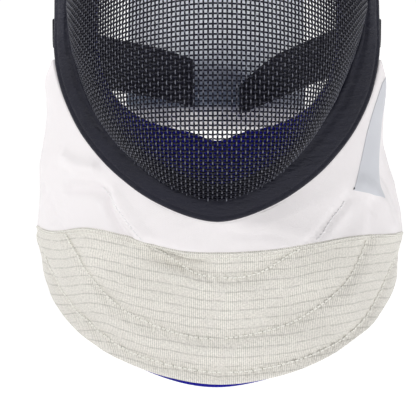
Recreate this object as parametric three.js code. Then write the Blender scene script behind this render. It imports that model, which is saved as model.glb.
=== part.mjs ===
// A foil fencing mask: a woven wire face on a padded trim, with a cloth bib below it, a padded
// lining inside and a tongue with two straps behind the head.
// Millimetres, +Z up, the face towards -Y. The origin is the seat on the crown of the head.
import * as THREE from 'three';

// Heights along Z, and depths measured forward from the crown, which is the -Y direction.
const EDGE = {
  half: 97.6, top: 2, templeTop: -105, templeBottom: -140, chin: -251, power: 2.2, root: 1.55,
};
const EDGE_DEPTH = { top: 14, chin: 108 };
const RIDGE = { height: -168, depth: 160 };
const SECTION_POWERS = { across: 1.85, forward: 1.8 };

const WALL = 2;
const NET = { rows: 12, columns: 10, bar: 6, margin: 1.5 };
const ROW_TILT = { crown: 90, fade: 150, chin: 20, chinPower: 6 };

const TRIM = { width: 14.5, thickness: 7, stations: 64, sides: 10 };
const TRIM_TILT = { chin: 18, temple: 42 };
const GAP = 0.35;

const BIB = {
  start: -158, sweep: 95, layer: 2.4, lining: 1.6, liningShows: 2.2, back: -5, hemPower: 0.9,
  rows: 6,
};
const SEAM = { half: 124.4, reach: 109, centre: -285, sideRise: 3, shift: 1.8 };
const HEM = { half: 121.6, reach: 111, centre: -372, sideRise: 67, shift: 3 };

// Where the seam rides up, in the bib's side from -1 to 1, and by how many mm.
const SEAM_RISES = [
  { side: -0.43, spread: 0.22, rise: 12 },
  { side: 0.46, spread: 0.27, rise: 6 },
];

const OPENING = {
  half: 80, top: -22, templeTop: -110, templeBottom: -128, chin: -209, power: 3.2, root: 2.5,
};
const CHIN_NOTCH = { depth: 6, half: 13 };
const LINER = { behind: 7.4, thickness: 8, inset: 3.2 };

const TONGUE = { halfTop: 62, halfEnd: 55, sagTop: 20, sagEnd: 12, thickness: 6 };
const STRAP = { thickness: 2, lean: 0.17, behind: 10.7 };
const TAB = { thickness: 2.6, height: 20, length: 24, middle: -146, behind: 5.9 };

// Soft bulges and creases of the bib, by place: side runs from -1 at the left back edge to 1 at
// the right one, drop is 0 at the trim, 1 at the seam and 2 at the hem. Rise is in mm.
const FOLDS = [
  { side: -0.80, drop: 0.50, sideSpread: 0.13, dropSpread: 0.30, rise: 3.2 },
  { side: -0.52, drop: 0.80, sideSpread: 0.10, dropSpread: 0.35, rise: -1.6 },
  { side: 0.46, drop: 0.75, sideSpread: 0.10, dropSpread: 0.30, rise: -1.4 },
  { side: 0.66, drop: 0.85, sideSpread: 0.11, dropSpread: 0.40, rise: 1.6 },
  { side: 0.95, drop: 0.60, sideSpread: 0.16, dropSpread: 0.16, rise: -3.0 },
  { side: 0.95, drop: 0.96, sideSpread: 0.20, dropSpread: 0.20, rise: 2.4 },
  { side: -0.97, drop: 0.62, sideSpread: 0.20, dropSpread: 0.24, rise: 3.0 },
];

// The side label's corners on the bib, in the same side and drop as the folds.
const LABEL = {
  thickness: 1,
  topLeft: { side: 0.925, drop: 0.06 },
  topRight: { side: 0.985, drop: 0.07 },
  bottomLeft: { side: 0.54, drop: 0.41 },
  bottomRight: { side: 0.71, drop: 0.66 },
};

// The tongue's middle line from the trim over the crown and down behind the head.
const TONGUE_LINE = [
  { depth: 2.3, height: 8 },
  { depth: -30, height: 6 },
  { depth: -65, height: -14 },
  { depth: -89, height: -55 },
  { depth: -98, height: -110 },
  { depth: -94, height: -165 },
  { depth: -86, height: -212 },
];

// A strap's middle line seen from above, after its start on the lining's back face, and each
// strap's own heights along it. Its free end is rounded off at the top by the share cut.
const STRAP_ROUTE = [
  { out: 93, depth: 12 },
  { out: 88, depth: -30 },
  { out: 68, depth: -63 },
  { out: 42, depth: -77.6 },
  { out: 17, depth: -83 },
];
const STRAPS = {
  left: { start: 88, width: 37, cut: 0.06, heights: [-163, -164.5, -166, -171.7, -177.4, -184] },
  right: { start: 88, width: 32.5, cut: 0.4, heights: [-150, -154, -159, -168.8, -181, -191.6] },
};

const forward = new THREE.Vector3(0, -1, 0);

function at(x, depth, height) {
  return new THREE.Vector3(x, -depth, height);
}

function mix(a, b, share) {
  return a + (b - a) * share;
}

function radians(degrees) {
  return THREE.MathUtils.degToRad(degrees);
}

// One quarter of a rounded outline: 1 at share 0, falling to 0 at share 1.
function quarter(share, power, root) {
  return Math.max(0, 1 - Math.min(1, Math.max(0, share)) ** power) ** (1 / root);
}

// Half the width of a closed outline with straight temples, a round crown and a narrow chin.
function halfWidth(shape, height) {
  if (height > shape.templeTop) {
    return shape.half * quarter((height - shape.templeTop) / (shape.top - shape.templeTop), 2.2, 2);
  }
  if (height < shape.templeBottom) {
    const share = (shape.templeBottom - height) / (shape.templeBottom - shape.chin);
    return shape.half * quarter(share, shape.power, shape.root);
  }
  return shape.half;
}

function edgeDepth(height) {
  const share = (EDGE.top - height) / (EDGE.top - EDGE.chin);
  return EDGE_DEPTH.top + (EDGE_DEPTH.chin - EDGE_DEPTH.top) * share ** 2;
}

function ridgeDepth(height) {
  if (height > RIDGE.height) {
    const share = (height - RIDGE.height) / (EDGE.top - RIDGE.height);
    return EDGE_DEPTH.top + (RIDGE.depth - EDGE_DEPTH.top) * quarter(share, 2.7, 2);
  }
  const share = (RIDGE.height - height) / (RIDGE.height - EDGE.chin);
  return EDGE_DEPTH.chin + (RIDGE.depth - EDGE_DEPTH.chin) * quarter(share, 2.6, 1);
}

// A point of the face at one height: turn 0 is on the ridge and 90 degrees on the edge.
function facePoint(height, turn, side) {
  const out = halfWidth(EDGE, height) * Math.sin(turn) ** (2 / SECTION_POWERS.across);
  const share = Math.max(0, Math.cos(turn)) ** (2 / SECTION_POWERS.forward);
  return at(side * out, mix(edgeDepth(height), ridgeDepth(height), share), height);
}

// Points spaced evenly along a dense line of points, by share of its length.
function alongLine(points) {
  const lengths = [0];
  for (let i = 1; i < points.length; i += 1) {
    lengths.push(lengths[i - 1] + points[i].distanceTo(points[i - 1]));
  }
  const total = lengths[lengths.length - 1];
  const pointAt = (share) => {
    const wanted = Math.min(total, Math.max(0, share * total));
    let i = 1;
    while (i < points.length - 1 && lengths[i] < wanted) i += 1;
    const step = (wanted - lengths[i - 1]) / (lengths[i] - lengths[i - 1] || 1);
    return points[i - 1].clone().lerp(points[i], step);
  };
  return { total, pointAt };
}

const DENSE = 360;

function heightsFromChin(shape) {
  return Array.from({ length: DENSE + 1 }, (_, i) => {
    return mix(shape.chin, shape.top, (1 - Math.cos((Math.PI * i) / DENSE)) / 2);
  });
}

// Half of a closed outline, from the chin up the right side to the crown.
function halfOutline(shape, behind = 0) {
  return alongLine(heightsFromChin(shape).map((height) => {
    return at(halfWidth(shape, height), edgeDepth(height) - behind, height);
  }));
}

const edgeLine = halfOutline(EDGE);

// A point of the whole edge: share 0 is the chin, 1 the crown, and the sign is the side.
function edgePoint(share) {
  const point = edgeLine.pointAt(Math.abs(share));
  point.x *= Math.sign(share) || 1;
  return point;
}

// The trim's directions at a place on the edge: along it, in towards the face and out of it.
function trimFrame(share) {
  const step = 0.004;
  const point = edgePoint(share);
  const before = edgePoint(share - step);
  const after = edgePoint(share + step);
  if (Math.abs(share) > 1 - step) {
    before.copy(edgePoint(1 - step));
    after.copy(before).setX(-before.x);
    if (share < 0) before.setX(-before.x);
    if (share < 0) after.setX(-after.x);
  }
  const along = after.sub(before).normalize();
  const flat = new THREE.Vector3().crossVectors(forward, along).normalize();
  const height = (point.z - EDGE.chin) / (EDGE.templeBottom - EDGE.chin);
  const tilt = radians(mix(TRIM_TILT.chin, TRIM_TILT.temple, Math.min(1, height)));
  const inward = flat.multiplyScalar(Math.cos(tilt)).addScaledVector(forward, Math.sin(tilt));
  inward.addScaledVector(along, -inward.dot(along)).normalize();
  const face = new THREE.Vector3().crossVectors(along, inward).normalize();
  return { point, along, inward, face };
}

// A solid from a list of faces, each a list of three or four corners in order.
function solidFromFaces(faces) {
  const positions = [];
  for (const corners of faces) {
    for (let i = 1; i < corners.length - 1; i += 1) {
      for (const corner of [corners[0], corners[i], corners[i + 1]]) {
        positions.push(corner.x, corner.y, corner.z);
      }
    }
  }
  const geometry = new THREE.BufferGeometry();
  geometry.setAttribute('position', new THREE.Float32BufferAttribute(positions, 3));
  geometry.computeVertexNormals();
  return geometry;
}

// A solid between an outer and an inner grid of points. Cells for which isGap is true are open,
// and joined says that the last column meets the first.
function slab(outer, inner, { joined = false, isGap = () => false } = {}) {
  const rowCells = outer.length - 1;
  const columns = outer[0].length;
  const columnCells = joined ? columns : columns - 1;
  const next = (j) => (j + 1) % columns;
  const solid = (i, j) => {
    if (i < 0 || i >= rowCells) return false;
    if (!joined && (j < 0 || j >= columnCells)) return false;
    return !isGap(i, (j + columns) % columns);
  };
  const faces = [];
  for (let i = 0; i < rowCells; i += 1) {
    for (let j = 0; j < columnCells; j += 1) {
      if (!solid(i, j)) continue;
      const k = next(j);
      faces.push([outer[i][j], outer[i + 1][j], outer[i + 1][k], outer[i][k]]);
      faces.push([inner[i][j], inner[i][k], inner[i + 1][k], inner[i + 1][j]]);
      if (!solid(i - 1, j)) faces.push([outer[i][j], outer[i][k], inner[i][k], inner[i][j]]);
      if (!solid(i + 1, j)) {
        faces.push([outer[i + 1][k], outer[i + 1][j], inner[i + 1][j], inner[i + 1][k]]);
      }
      if (!solid(i, j - 1)) faces.push([outer[i + 1][j], outer[i][j], inner[i][j], inner[i + 1][j]]);
      if (!solid(i, j + 1)) faces.push([outer[i][k], outer[i + 1][k], inner[i + 1][k], inner[i][k]]);
    }
  }
  return solidFromFaces(faces);
}

function steps(count, from = 0, to = 1) {
  return Array.from({ length: count + 1 }, (_, i) => mix(from, to, i / count));
}

// The outward direction of a surface(across, down), with across to the right and down downwards.
function outward(surface, across, down) {
  const step = 0.003;
  const right = surface(across + step, down).sub(surface(across - step, down));
  const below = surface(across, down + step).sub(surface(across, down - step));
  return below.cross(right).normalize();
}

// A layer of cloth or padding that follows a surface, lifted off it by lift.
function layer(surface, { across, down, thickness, lift = 0, joined = false }) {
  const grid = (height) => down.map((v) => across.map((u) => {
    return surface(u, v).addScaledVector(outward(surface, u, v), height);
  }));
  return slab(grid(lift + thickness / 2), grid(lift - thickness / 2), { joined });
}

// The ridge from the crown to the chin.
const ridgeLine = alongLine(heightsFromChin(EDGE).reverse().map((height) => {
  return at(0, ridgeDepth(height), height);
}));

// A net row leaves the ridge in a plane that tips down towards the back, less and less from the
// crown to the chin.
function rowTilt(distance) {
  const chinShare = (distance / ridgeLine.total) ** ROW_TILT.chinPower;
  return radians(ROW_TILT.crown * Math.exp(-distance / ROW_TILT.fade) - ROW_TILT.chin * chinShare);
}

// One half of a net row, from the ridge out to the edge, where its plane cuts the face.
function halfRow(distance) {
  const start = ridgeLine.pointAt(distance / ridgeLine.total);
  const tilt = rowTilt(distance);
  const above = (point) => {
    return (point.z - start.z) * Math.cos(tilt) + (point.y - start.y) * Math.sin(tilt);
  };
  const points = steps(48).map((share) => {
    const turn = (share * Math.PI) / 2;
    let low = EDGE.chin;
    let high = EDGE.top;
    for (let i = 0; i < 40; i += 1) {
      const height = (low + high) / 2;
      if (above(facePoint(height, turn, 1)) > 0) high = height;
      else low = height;
    }
    return facePoint((low + high) / 2, turn, 1);
  });
  return alongLine(points);
}

// Grid lines on both edges of every bar: count gaps between count + 1 bars.
function barLines(count, length, bar) {
  const pitch = (length - bar) / count;
  return Array.from({ length: count + 1 }, (_, i) => [i * pitch, i * pitch + bar]).flat();
}

function wireMesh() {
  const length = ridgeLine.total - 2 * NET.margin;
  const rows = barLines(NET.rows, length, NET.bar).map((d) => halfRow(d + NET.margin));
  const widest = Math.max(...rows.map((row) => row.total));
  const lines = barLines(NET.columns, 2 * widest, NET.bar).map((d) => d / widest - 1);
  const points = rows.map((row) => lines.map((line) => {
    const point = row.pointAt(Math.abs(line));
    return point.setX(point.x * Math.sign(line));
  }));
  const normals = points.map((row, i) => row.map((_, j) => {
    const up = points[Math.max(0, i - 1)][j];
    const down = points[Math.min(points.length - 1, i + 1)][j];
    const left = row[Math.max(0, j - 1)];
    const right = row[Math.min(row.length - 1, j + 1)];
    return down.clone().sub(up).cross(right.clone().sub(left)).normalize();
  }));
  const inner = points.map((row, i) => row.map((point, j) => {
    return point.clone().addScaledVector(normals[i][j], -WALL);
  }));
  return slab(points, inner, { isGap: (i, j) => i % 2 === 1 && j % 2 === 1 });
}

// Shares of the whole edge, once round from the chin up the right side and down the left.
function roundShares(count) {
  return Array.from({ length: count }, (_, i) => {
    const turn = (2 * i) / count;
    return turn <= 1 ? turn : turn - 2;
  });
}

function rimTrim() {
  const offset = TRIM.width / 2 + GAP;
  const rings = Array.from({ length: TRIM.sides + 1 }, (_, k) => {
    const turn = (2 * Math.PI * k) / TRIM.sides;
    return roundShares(TRIM.stations).map((share) => {
      const { point, inward, face } = trimFrame(share);
      return point.clone()
        .addScaledVector(inward, Math.cos(turn) * TRIM.width / 2 - offset)
        .addScaledVector(face, Math.sin(turn) * TRIM.thickness / 2);
    });
  });
  const faces = [];
  for (let k = 0; k < TRIM.sides; k += 1) {
    for (let i = 0; i < TRIM.stations; i += 1) {
      const j = (i + 1) % TRIM.stations;
      faces.push([rings[k][i], rings[k + 1][i], rings[k + 1][j], rings[k][j]]);
    }
  }
  return solidFromFaces(faces);
}

// The share of the edge at which the bib begins, on each side.
const bibShare = (() => {
  const start = steps(400).find((share) => edgePoint(share).z > BIB.start);
  return start;
})();

function bibTop(side) {
  const { point, inward } = trimFrame(side * bibShare);
  return point.addScaledVector(inward, -(TRIM.width + 2 * GAP));
}

function bibRound(side, shape) {
  const turn = radians(BIB.sweep * side);
  const depth = BIB.back + shape.reach * Math.cos(turn);
  const rise = shape.sideRise * (1 - Math.cos(turn)) ** BIB.hemPower;
  return at(shape.shift + shape.half * Math.sin(turn), depth, shape.centre + rise);
}

function seamPoint(side) {
  const point = bibRound(side, SEAM);
  for (const bump of SEAM_RISES) {
    point.z += bump.rise * Math.exp(-(((side - bump.side) / bump.spread) ** 2));
  }
  return point;
}

// The bib without folds: drop 0 at the trim, 1 at the seam and 2 at the hem.
function bibPlain(side, drop) {
  const seam = seamPoint(side);
  if (drop > 1) return seam.lerp(bibRound(side, HEM), drop - 1);
  return bibTop(side).lerp(seam, drop);
}

function bibPoint(side, drop) {
  let rise = 0;
  for (const fold of FOLDS) {
    const across = (side - fold.side) / fold.sideSpread;
    const down = (drop - fold.drop) / fold.dropSpread;
    rise += fold.rise * Math.exp(-(across ** 2) - down ** 2);
  }
  const point = bibPlain(side, drop);
  const out = new THREE.Vector3(point.x / SEAM.half, (point.y + BIB.back) / SEAM.reach, 0);
  return point.addScaledVector(out.normalize(), rise);
}

const bibAcross = steps(34, -1, 1);

function bibPanel(down) {
  return layer(bibPoint, { across: bibAcross, down, thickness: BIB.layer });
}

// The lining shows below the hem for a short way in the middle.
function liningPoint(side, drop) {
  const show = BIB.liningShows * Math.exp(-((side / 0.24) ** 2)) / (SEAM.centre - HEM.centre);
  return bibPoint(side, drop > 1 ? 1 + (drop - 1) * (1 + show) : drop);
}

function bibLining() {
  return layer(liningPoint, {
    across: bibAcross,
    down: [0.03, ...steps(BIB.rows * 2 - 2, 1 / BIB.rows, 2 - 1 / BIB.rows), 1.998],
    thickness: BIB.lining,
    lift: -(BIB.layer / 2 + GAP + BIB.lining / 2),
  });
}

const openingLine = halfOutline(OPENING, LINER.behind);

// The padded ring inside the face: down 0 at the trim and 1 at the opening for the head.
function linerPoint(share, down) {
  const wrapped = share > 1 ? share - 2 : share;
  const { point, inward } = trimFrame(wrapped);
  const outer = point.addScaledVector(inward, LINER.inset).addScaledVector(forward, -LINER.behind);
  const inner = openingLine.pointAt(Math.abs(wrapped));
  inner.x *= Math.sign(wrapped) || 1;
  const chin = inner.z < OPENING.templeBottom ? 1 : 0;
  inner.z -= chin * CHIN_NOTCH.depth * Math.exp(-((inner.x / CHIN_NOTCH.half) ** 2));
  return outer.lerp(inner, down);
}

function innerLiner() {
  const shares = roundShares(56);
  const grid = (lift) => [1, 0.66, 0.33, 0].map((down) => shares.map((share) => {
    return linerPoint(share, down).addScaledVector(forward, lift);
  }));
  return slab(grid(LINER.thickness / 2), grid(-LINER.thickness / 2), { joined: true });
}

const tongueCurve = new THREE.CatmullRomCurve3(TONGUE_LINE.map((row) => at(0, row.depth, row.height)));

function tonguePoint(across, down) {
  const share = Math.min(1, Math.max(0, down));
  const middle = tongueCurve.getPointAt(share);
  const along = tongueCurve.getTangentAt(share);
  const out = new THREE.Vector3(0, -along.z, along.y);
  const half = mix(TONGUE.halfTop, TONGUE.halfEnd, share);
  const sag = mix(TONGUE.sagTop, TONGUE.sagEnd, share);
  return middle.setX(-across * half).addScaledVector(out, -sag * across ** 2);
}

function backTongue() {
  const grid = (lift) => steps(16).map((down) => steps(10, -1, 1).map((across) => {
    const along = tongueCurve.getTangentAt(down);
    return tonguePoint(across, down).addScaledVector(new THREE.Vector3(0, -along.z, along.y), lift);
  }));
  return slab(grid(TONGUE.thickness / 2), grid(-TONGUE.thickness / 2));
}

// One strap on its side of the mask: across 0 on the lining and 1 at its free end.
function strap(side, shape) {
  const start = { out: shape.start, depth: edgeDepth(shape.heights[0]) - STRAP.behind };
  const curve = new THREE.CatmullRomCurve3([start, ...STRAP_ROUTE].map((row, i) => {
    return at(row.out, row.depth, shape.heights[i]);
  }));
  const surface = (across, down) => {
    const point = curve.getPointAt(across);
    const top = shape.cut * Math.max(0, (across - 0.78) / 0.22) ** 2;
    const drop = (mix(top, 1, down) - 0.5) * shape.width;
    const height = point.z - drop;
    const atLiner = edgeDepth(height) - edgeDepth(point.z);
    point.y -= atLiner * (1 - across) ** 3 + STRAP.lean * drop * across ** 2;
    return point.setZ(height);
  };
  const grid = (lift) => steps(4).map((down) => steps(14).map((across) => {
    const along = curve.getTangentAt(across);
    const out = new THREE.Vector3(-along.y, along.x, 0).normalize();
    const point = surface(across, down).addScaledVector(out, -lift);
    return point.setX(side * point.x);
  }));
  const near = grid(STRAP.thickness / 2);
  const far = grid(-STRAP.thickness / 2);
  return side > 0 ? slab(near, far) : slab(far, near);
}

function strapTab(side) {
  const share = steps(400).find((s) => edgePoint(s).z > TAB.middle);
  const { point, inward } = trimFrame(share);
  const tip = point.addScaledVector(inward, -(TRIM.width + 2 * GAP));
  const shape = new THREE.Shape();
  const low = -TAB.height / 2;
  shape.moveTo(-TAB.length / 2, low);
  shape.lineTo(TAB.length / 2 - 4, low);
  shape.lineTo(TAB.length / 2, low + 6);
  shape.lineTo(TAB.length / 2, -low);
  shape.lineTo(-TAB.length / 2, -low);
  shape.closePath();
  const geometry = new THREE.ExtrudeGeometry(shape, { depth: TAB.thickness, bevelEnabled: false });
  geometry.rotateY(Math.PI / 2);
  geometry.rotateX(Math.PI / 2);
  geometry.translate(-TAB.thickness / 2, 0, 0);
  geometry.translate(side * tip.x, tip.y + TAB.behind + TAB.length / 2, TAB.middle);
  return geometry;
}

function sideLabel() {
  const surface = (across, down) => {
    const corner = (key, left, right) => mix(left[key], right[key], across);
    const [side, drop] = ['side', 'drop'].map((key) => mix(
      corner(key, LABEL.topLeft, LABEL.topRight),
      corner(key, LABEL.bottomLeft, LABEL.bottomRight),
      down,
    ));
    return bibPoint(side, drop);
  };
  return layer(surface, {
    across: steps(4),
    down: steps(8),
    thickness: LABEL.thickness,
    lift: BIB.layer / 2 + GAP + 0.1 + LABEL.thickness / 2,
  });
}

const finishes = {
  wire: { color: 0x17181f, roughness: 0.4, metalness: 0.6 },
  trim: { color: 0x2d2f37, roughness: 0.5, metalness: 0 },
  cotton: { color: 0xf4f1f3, roughness: 0.9, metalness: 0 },
  lame: { color: 0xdedcd2, roughness: 0.55, metalness: 0.35 },
  blue: { color: 0x2747b8, roughness: 0.85, metalness: 0 },
  grey: { color: 0xc9cbce, roughness: 0.9, metalness: 0 },
  webbing: { color: 0x101114, roughness: 0.85, metalness: 0 },
  label: { color: 0xdee0e6, roughness: 0.6, metalness: 0 },
};

const mask = new THREE.Group();

function addPiece(name, geometry, finish) {
  const mesh = new THREE.Mesh(geometry, new THREE.MeshStandardMaterial(finishes[finish]));
  mesh.name = name;
  mask.add(mesh);
}

const seamGap = GAP / (SEAM.centre - HEM.centre);

addPiece('wire_mesh', wireMesh(), 'wire');
addPiece('rim_trim', rimTrim(), 'trim');
addPiece('bib_upper', bibPanel(steps(BIB.rows, 0, 1 - seamGap)), 'cotton');
addPiece('bib_lame', bibPanel(steps(BIB.rows, 1 + seamGap, 2)), 'lame');
addPiece('bib_lining', bibLining(), 'blue');
addPiece('inner_liner', innerLiner(), 'blue');
addPiece('back_tongue', backTongue(), 'grey');
addPiece('strap_left', strap(-1, STRAPS.left), 'webbing');
addPiece('strap_right', strap(1, STRAPS.right), 'webbing');
addPiece('strap_tab_left', strapTab(-1), 'webbing');
addPiece('strap_tab_right', strapTab(1), 'webbing');
addPiece('side_label', sideLabel(), 'label');

export default mask;
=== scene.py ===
"""A foil fencing mask: woven wire face, padded trim, cloth bib, blue lining and a back tongue."""
import math

import bpy
import numpy as np
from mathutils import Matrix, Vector


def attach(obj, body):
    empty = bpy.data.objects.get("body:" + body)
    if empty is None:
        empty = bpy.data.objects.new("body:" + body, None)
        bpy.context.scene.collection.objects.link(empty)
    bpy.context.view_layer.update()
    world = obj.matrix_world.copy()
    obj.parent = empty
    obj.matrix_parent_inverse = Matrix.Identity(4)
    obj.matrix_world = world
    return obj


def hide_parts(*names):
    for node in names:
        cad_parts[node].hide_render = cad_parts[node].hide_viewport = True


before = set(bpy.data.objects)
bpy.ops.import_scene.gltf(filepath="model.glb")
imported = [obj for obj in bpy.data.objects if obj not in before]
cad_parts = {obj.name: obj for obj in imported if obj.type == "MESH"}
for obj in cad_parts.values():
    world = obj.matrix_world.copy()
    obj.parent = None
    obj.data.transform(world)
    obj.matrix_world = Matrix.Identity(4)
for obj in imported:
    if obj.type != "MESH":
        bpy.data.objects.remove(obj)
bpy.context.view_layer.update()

# Everything below is worked out in millimetres and made in metres.
MM = 0.001


def table(columns, *rows):
    """Rows of numbers as dicts, with the columns named once."""
    return [dict(zip(columns.split(), row)) for row in rows]


# The camera looks slightly down, at a point just below the chin.
CAMERA = {"elevation": 6.5, "distance": 1350.0, "field": 283.0, "sensor": 36.0}
CAMERA_TARGET = (-5.9, -30.0, -264.2)

# The wire face's edge and the padded ring's opening: sizes and heights in mm, and how square each
# one's lower quarters are.
EDGE, OPENING = table(
    "half top temple_top temple_bottom chin power root",
    (97.6, 2.0, -105.0, -140.0, -251.0, 2.2, 1.55),
    (80.0, -22.0, -110.0, -128.0, -209.0, 3.2, 2.5),
)
EDGE_DEPTH = {"top": 14.0, "chin": 108.0}
CROWN = {"power": 2.2, "root": 2.0}
RIDGE = {
    "height": -168.0, "depth": 160.0, "power_up": 2.7, "root_up": 2.0, "power_down": 2.6, "root_down": 1.0,
}
# How square the face's section is, across and forward.
ACROSS_POWER = 1.85
FORWARD_POWER = 1.8

NET = {"row_pitch": 3.13, "column_pitch": 2.93, "radius": 0.6, "crimp": 0.5, "sides": 6}
# In pitches: the first row from the crown, a row's last crossing from the edge, and a column's ends.
NET_ENDS = {"first_row": 0.6, "clear": 0.3, "run_on": 0.6}
ROW_TILT = {"crown": 90.0, "fade": 150.0, "chin": 20.0, "chin_power": 6}

TRIM = {
    "width": 14.5, "thickness": 7.0, "cover": 0.8, "stretch": 1.05, "squareness": 0.8, "ripple": 0.18,
    "lip": 0.70, "lip_top": -196.0, "lip_reach": 45.0,
}
# Grooves along the trim: how far across it from its middle, how wide and how deep.
TRIM_GROOVES = table(
    "across wide deep",
    (-3.4, 0.8, 1.3),
    (5.0, 0.7, 1.3),
)
TRIM_TILT = {"chin": 18.0, "temple": 42.0}

# How far in the wire comes out from under the trim, in mm, on each side by height.
WIRE_PULL = table(
    "height left right",
    (-251.0, 0.0, 0.0),
    (-225.0, 2.4, 6.2),
    (-205.0, 3.0, 9.2),
    (-182.0, 3.5, 9.2),
    (-168.0, 3.0, 7.4),
    (-155.0, 1.0, 4.6),
    (-128.0, -2.0, -2.0),
    (-60.0, 0.0, 0.0),
)
# The net's edge is drawn in toward this height, and the power keeps the pull near the edge.
PULL_TOWARD = -140.0
PULL_POWER = 5
# The clearance that neighbouring pieces keep, in mm.
GAP = 0.35

BIB = {
    "start": -158.0, "sweep": 95.0, "layer": 2.4, "lining": 1.6, "back": -5.0, "shows": 2.8,
    "shows_at": -0.07, "shows_wide": 0.20,
}
HEM_POWER = 0.9
SEAM, HEM = table(
    "half reach centre rise shift",
    (124.4, 109.0, -285.0, 3.0, 1.8),
    (121.6, 111.0, -370.6, 67.0, 3.0),
)
SEAM_RISES = table(
    "side wide rise",
    (-0.43, 0.22, 12.0),
    (0.46, 0.27, 6.0),
    (-0.86, 0.18, 4.5),
    (-1.0, 0.10, -5.5),
    (1.0, 0.12, -4.0),
)

# Bulges and creases of the bib: side from -1 to 1, drop 0 at the trim, 1 at the seam, 2 at the
# hem, how far each spreads, and its rise in mm.
FOLDS = table(
    "side drop wide tall rise",
    (-0.80, 0.50, 0.13, 0.30, 3.2),
    (-0.52, 0.80, 0.10, 0.35, -1.6),
    (0.46, 0.75, 0.10, 0.30, -1.4),
    (0.66, 0.85, 0.11, 0.40, 1.6),
    (0.95, 0.46, 0.14, 0.17, -3.6),
    (0.95, 0.92, 0.20, 0.22, 3.2),
    (1.00, 0.10, 0.12, 0.10, 2.6),
    (-1.00, 0.10, 0.12, 0.08, 3.0),
    (-1.00, 0.19, 0.16, 0.19, 2.4),
    (-0.97, 0.62, 0.20, 0.24, 3.0),
    (-0.15, 1.10, 0.11, 0.065, -4.2),
    (-0.97, 1.28, 0.22, 0.22, 2.6),
    (0.97, 1.28, 0.22, 0.24, 2.4),
)

LINER = {"behind": 7.4, "thickness": 8.0, "inset": 3.2, "length": 300.0, "width": 30.0}
# The binding is real; its wider lap at the chin stands in for the shade over the padded ring's lower part.
TAPE = {
    "tuck": 1.5, "front": 2.4, "lap": 2.5, "chin_shade_lap": 9.0, "chin_top": -190.0, "chin_reach": 40.0,
    "thickness": 0.8, "rests": 0.55,
}
# The rise of the tape's rows off the straight line between its stops, in mm.
TAPE_RISES = (0.0, 0.0, 0.6, 2.2, 1.6)
CHIN_NOTCH = {"depth": 6.0, "half": 13.0}

TONGUE = {
    "half_top": 62.0, "half_end": 65.0, "sag_top": 20.0, "sag_end": 12.0, "thickness": 6.0,
    "seam": 0.84, "groove": 1.0, "groove_wide": 0.03,
}
TONGUE_LINE = (
    (2.3, 8.0), (-30.0, 6.0), (-65.0, -14.0), (-89.0, -55.0), (-98.0, -110.0), (-94.0, -165.0),
    (-84.8, -219.0),
)

STRAP = {"thickness": 2.0, "lean": 0.17, "start": 88.0, "behind": 10.7, "cut_from": 0.78}
STRAP_ROUTE = ((93.0, 12.0), (88.0, -30.0), (68.0, -63.0), (42.0, -77.6), (17.0, -83.0))
STRAPS = table(
    "name side width cut heights",
    ("left", -1, 37.0, 0.06, (-163.0, -164.5, -166.0, -171.7, -177.4, -184.0)),
    ("right", 1, 32.5, 0.4, (-150.0, -154.0, -159.0, -168.8, -181.0, -191.6)),
)

TAB = {
    "thickness": 2.6, "height": 20.0, "length": 24.0, "middle": -146.0, "behind": 5.9, "bow": 0.5,
    "slant": 12.0, "slant_from": 0.7,
}
LABEL = {"thickness": 0.6, "lift": 0.2, "stitch_lift": 0.3}
LABEL_LEFT = ((0.938, 0.050), (0.834, 0.060), (0.740, 0.111), (0.652, 0.243), (0.562, 0.441))
LABEL_RIGHT = (
    (0.985, 0.075), (0.945, 0.170), (0.880, 0.275), (0.795, 0.365), (0.740, 0.510), (0.706, 0.675),
)

FORWARD = np.array((0.0, -1.0, 0.0))


def at(x, depth, height):
    x, depth, height = np.broadcast_arrays(x, depth, height)
    return np.stack((x, -depth, height), axis=-1).astype(float)


def mix(a, b, share):
    return a + (b - a) * share


def unit(vectors):
    return vectors / np.maximum(np.linalg.norm(vectors, axis=-1, keepdims=True), 1e-9)


def dot(a, b):
    return np.sum(a * b, axis=-1, keepdims=True)


def bell(distance, wide):
    return np.exp(-((distance / wide) ** 2))


def quarter(share, power, root):
    """One quarter of a rounded outline: 1 at share 0, falling to 0 at share 1."""
    return np.maximum(0.0, 1 - np.clip(share, 0, 1) ** power) ** (1 / root)


def half_width(shape, height):
    high = (height - shape["temple_top"]) / (shape["top"] - shape["temple_top"])
    low = (shape["temple_bottom"] - height) / (shape["temple_bottom"] - shape["chin"])
    crown = quarter(high, CROWN["power"], CROWN["root"])
    return shape["half"] * crown * quarter(low, shape["power"], shape["root"])


def edge_depth(height):
    share = (EDGE["top"] - height) / (EDGE["top"] - EDGE["chin"])
    return mix(EDGE_DEPTH["top"], EDGE_DEPTH["chin"], share**2)


def ridge_depth(height):
    up = (height - RIDGE["height"]) / (EDGE["top"] - RIDGE["height"])
    down = (RIDGE["height"] - height) / (RIDGE["height"] - EDGE["chin"])
    above = mix(EDGE_DEPTH["top"], RIDGE["depth"], quarter(up, RIDGE["power_up"], RIDGE["root_up"]))
    below = mix(EDGE_DEPTH["chin"], RIDGE["depth"], quarter(down, RIDGE["power_down"], RIDGE["root_down"]))
    return np.where(height > RIDGE["height"], above, below)


def face_point(height, turn):
    """The face on the right side: turn 0 is on the ridge and a quarter turn on the edge."""
    out = half_width(EDGE, height) * np.sin(turn) ** (2 / ACROSS_POWER)
    share = np.maximum(0.0, np.cos(turn)) ** (2 / FORWARD_POWER)
    return at(out, mix(edge_depth(height), ridge_depth(height), share), height)


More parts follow.
